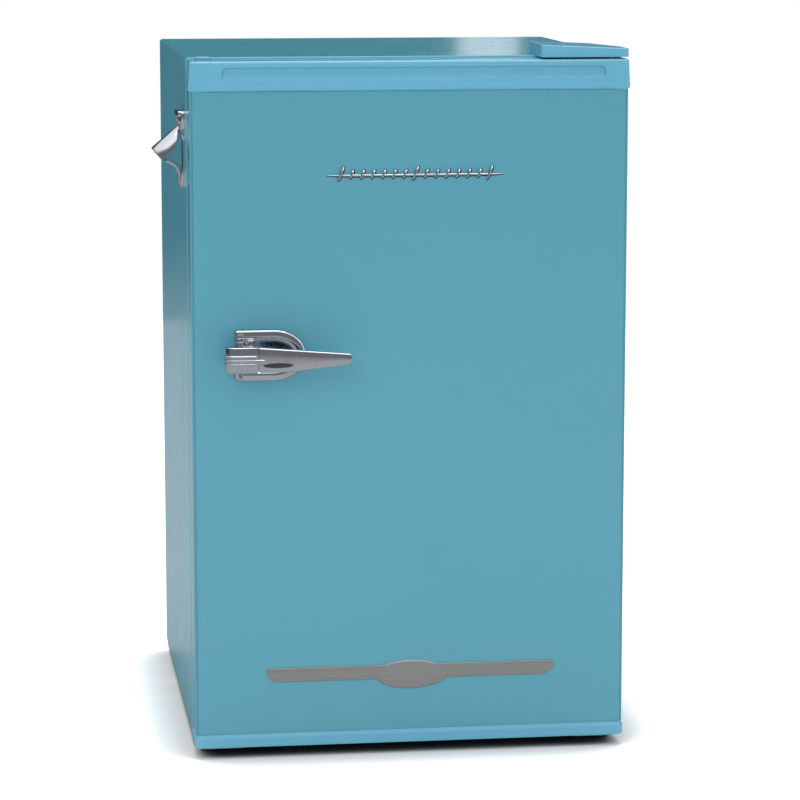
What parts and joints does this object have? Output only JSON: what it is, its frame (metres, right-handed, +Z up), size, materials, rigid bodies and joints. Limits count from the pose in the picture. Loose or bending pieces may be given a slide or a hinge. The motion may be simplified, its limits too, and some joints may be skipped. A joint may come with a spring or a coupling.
{
  "type": "single-door refrigerator",
  "caption": "Compact retro refrigerator with a side-hinged door, chrome pull handle, side bottle opener, inner freezer box, glass shelves, drawer and door racks.",
  "frame": {"origin": "on the floor, under the centre of the whole object's bounding box, opener, handle and condenser included", "axes": "+Z up, +X towards the hinge side, -Y out of the door"},
  "size_m": [0.5333, 0.6077, 0.8089],
  "materials": {
    "cabinet_paint": "gloss",
    "door_paint": "gloss",
    "cap_plastic": "gloss",
    "white_plastic": "satin",
    "shelf_trim": "satin",
    "clear_plastic": "gloss",
    "tray_plastic": "satin",
    "shelf_glass": "gloss",
    "gasket_rubber": "matte",
    "black_rubber": "matte",
    "foam": "matte",
    "zinc_steel": "satin",
    "steel_fastener": "satin",
    "black_enamel": "satin",
    "black_plastic": "matte",
    "copper": "satin",
    "evaporator_aluminium": "satin",
    "nylon": "matte",
    "chrome": "mirror",
    "badge_metal": "satin",
    "dark_inlay": "gloss"
  },
  "bodies": {
    "cabinet": {"outer_shell": "cabinet_paint", "inner_liner": "white_plastic", "base_pan": "zinc_steel", "back_panel": "zinc_steel", "recess_panel": "zinc_steel", "cabinet_foam": "foam", "compressor_plate": "zinc_steel", "cord_grommet": "black_rubber", "compressor": "black_enamel", "compressor_grommets": "black_rubber", "compressor_bolts": "steel_fastener", "terminal_cover": "black_plastic", "filter_drier": "copper", "refrigerant_pipes": "copper", "condenser_coil": "black_enamel", "condenser_wires": "black_enamel", "condenser_brackets": "black_enamel", "drip_pan": "black_plastic", "drain_tube": "black_plastic", "left_foot_bracket": "zinc_steel", "lower_hinge": "zinc_steel", "upper_hinge": "zinc_steel", "hinge_cover": "cap_plastic", "hinge_screws": "steel_fastener", "rear_feet": "black_plastic", "evaporator_box": "evaporator_aluminium", "freezer_frame": "white_plastic", "thermostat_housing": "white_plastic", "bottle_opener": "chrome", "opener_screws": "steel_fastener"},
    "door": {"door_skin": "door_paint", "door_top_cap": "cap_plastic", "door_bottom_cap": "cap_plastic", "door_liner": "white_plastic", "door_foam": "foam", "door_gasket": "gasket_rubber", "hinge_bushings": "nylon", "hinge_hole_plugs": "cap_plastic", "handle_base": "chrome", "handle_grip": "chrome", "handle_ribs": "chrome", "handle_medallion": "dark_inlay", "handle_screws": "steel_fastener", "script_ornament": "chrome", "wing_badge": "badge_metal"},
    "left_foot": {"left_levelling_foot": "steel_fastener"},
    "right_foot": {"right_levelling_foot": "steel_fastener"},
    "freezer_door": {"freezer_flap": "white_plastic"},
    "ice_tray_body": {"ice_tray": "tray_plastic"},
    "chiller_tray_body": {"chiller_tray": "clear_plastic"},
    "dial": {"thermostat_dial": "white_plastic"},
    "upper_shelf": {"upper_shelf_glass": "shelf_glass", "upper_shelf_trim": "shelf_trim"},
    "lower_shelf": {"lower_shelf_glass": "shelf_glass", "lower_shelf_trim": "shelf_trim"},
    "drawer_cover": {"crisper_cover": "shelf_glass"},
    "drawer": {"crisper_drawer": "clear_plastic"},
    "upper_bin": {"upper_door_bin": "clear_plastic"},
    "can_rack_body": {"can_rack": "clear_plastic"},
    "bottle_rack_body": {"bottle_rack": "clear_plastic"}
  },
  "joints": [
    {"name": "door_hinge", "type": "hinge", "parent": "cabinet", "child": "door", "pos_m": [0.248, -0.236, 0.795], "axis": [0, 0, 1], "range_deg": [0, 130]},
    {"name": "freezer_flap_hinge", "type": "hinge", "parent": "cabinet", "child": "freezer_door", "pos_m": [0.0185, -0.0731, 0.733], "axis": [-1, 0, 0], "range_deg": [0, 80]},
    {"name": "thermostat_turn", "type": "hinge", "parent": "cabinet", "child": "dial", "pos_m": [0.1735, -0.061, 0.698], "axis": [0, -1, 0], "range_deg": [-240, 0]},
    {"name": "left_foot_turn", "type": "hinge", "parent": "cabinet", "child": "left_foot", "pos_m": [-0.213, -0.216, 0], "axis": [0, 0, 1], "continuous": true},
    {"name": "right_foot_turn", "type": "hinge", "parent": "cabinet", "child": "right_foot", "pos_m": [0.25, -0.216, 0], "axis": [0, 0, 1], "continuous": true},
    {"name": "upper_shelf_slide", "type": "slide", "parent": "cabinet", "child": "upper_shelf", "axis": [0, -1, 0], "range_m": [0, 0.04]},
    {"name": "lower_shelf_slide", "type": "slide", "parent": "cabinet", "child": "lower_shelf", "axis": [0, -1, 0], "range_m": [0, 0.04]},
    {"name": "drawer_cover_slide", "type": "slide", "parent": "cabinet", "child": "drawer_cover", "axis": [0, -1, 0], "range_m": [0, 0.03]},
    {"name": "drawer_slide", "type": "slide", "parent": "cabinet", "child": "drawer", "axis": [0, -1, 0], "range_m": [0, 0.01]},
    {"name": "chiller_tray_slide", "type": "slide", "parent": "cabinet", "child": "chiller_tray_body", "axis": [0, -1, 0], "range_m": [0, 0.06]},
    {"name": "ice_tray_slide", "type": "slide", "parent": "cabinet", "child": "ice_tray_body", "axis": [0, -1, 0], "range_m": [0, 0.02]},
    {"name": "upper_bin_lift", "type": "slide", "parent": "door", "child": "upper_bin", "axis": [0, 0, 1], "range_m": [0, 0.012]},
    {"name": "can_rack_lift", "type": "slide", "parent": "door", "child": "can_rack_body", "axis": [0, 0, 1], "range_m": [0, 0.03]},
    {"name": "bottle_rack_lift", "type": "slide", "parent": "door", "child": "bottle_rack_body", "axis": [0, 0, 1], "range_m": [0, 0.03]}
  ]
}
